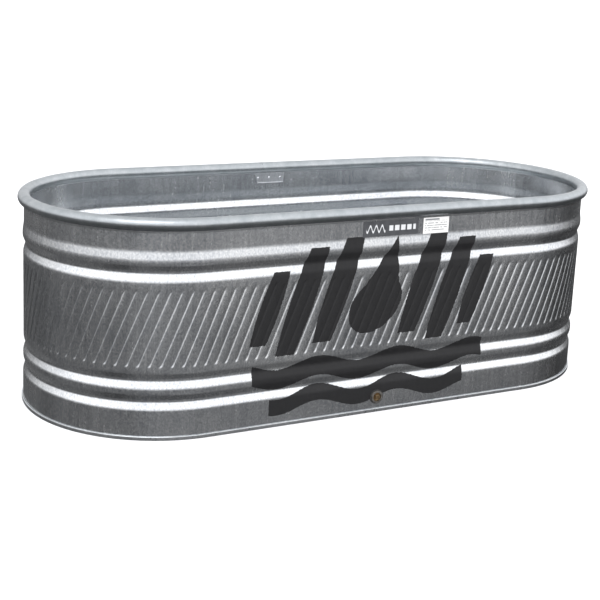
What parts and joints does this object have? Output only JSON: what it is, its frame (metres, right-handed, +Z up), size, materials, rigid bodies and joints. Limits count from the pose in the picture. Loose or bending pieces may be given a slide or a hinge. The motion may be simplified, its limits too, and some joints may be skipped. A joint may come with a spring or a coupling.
{
  "type": "livestock water trough",
  "caption": "Oval galvanised steel stock tank with a beaded and fluted wall, a rolled tubular rim, a lock-seamed pan bottom and a brass screw-in drain plug.",
  "frame": {"origin": "middle of the tank's length and width, on the ground", "axes": "+X along the tank, +Z up, and the drain and the labels are on the -Y side"},
  "size_m": [1.8634, 0.7964, 0.61],
  "materials": {
    "galvanised_sheet": "hot-dip galvanised, with fine streaks and spangle",
    "galvanised_pan": "hot-dip galvanised",
    "galvanised_pipe": "galvanised tube",
    "zinc_fitting": "zinc-plated steel",
    "brass_plug": "dull weathered brass",
    "black_rubber": "moulded rubber",
    "seam_sealant": "cured grey sealant",
    "dark_label": "printed vinyl",
    "white_label": "printed vinyl"
  },
  "bodies": {
    "tank": {"wall_sheet": "galvanised_sheet", "side_seam_sealant": "seam_sealant", "bottom_pan": "galvanised_pan", "bottom_seam_sealant": "seam_sealant", "rim_pipe": "galvanised_pipe", "rim_sleeve": "galvanised_pipe", "rim_clip": "galvanised_sheet", "rim_clip_rivets": "zinc_fitting", "drain_coupling": "zinc_fitting", "drain_locknut": "zinc_fitting", "drain_gasket_outer": "black_rubber", "drain_gasket_inner": "black_rubber", "name_label": "dark_label", "info_label": "white_label"},
    "seal": {"plug_seal": "black_rubber"},
    "plug": {"drain_plug": "brass_plug"}
  },
  "joints": [
    {"name": "plug_travel", "type": "slide", "parent": "tank", "child": "seal", "axis": [0, -1, 0], "range_m": [0, 0.0109]},
    {"name": "plug_turn", "type": "hinge", "parent": "seal", "child": "plug", "pos_m": [0, -0.3845, 0.046], "axis": [0, -1, 0], "range_deg": [0, 2160]}
  ],
  "couplings": [
    {"joint": "plug_travel", "follows": "plug_turn", "m_per_rad": 0.00028871}
  ]
}
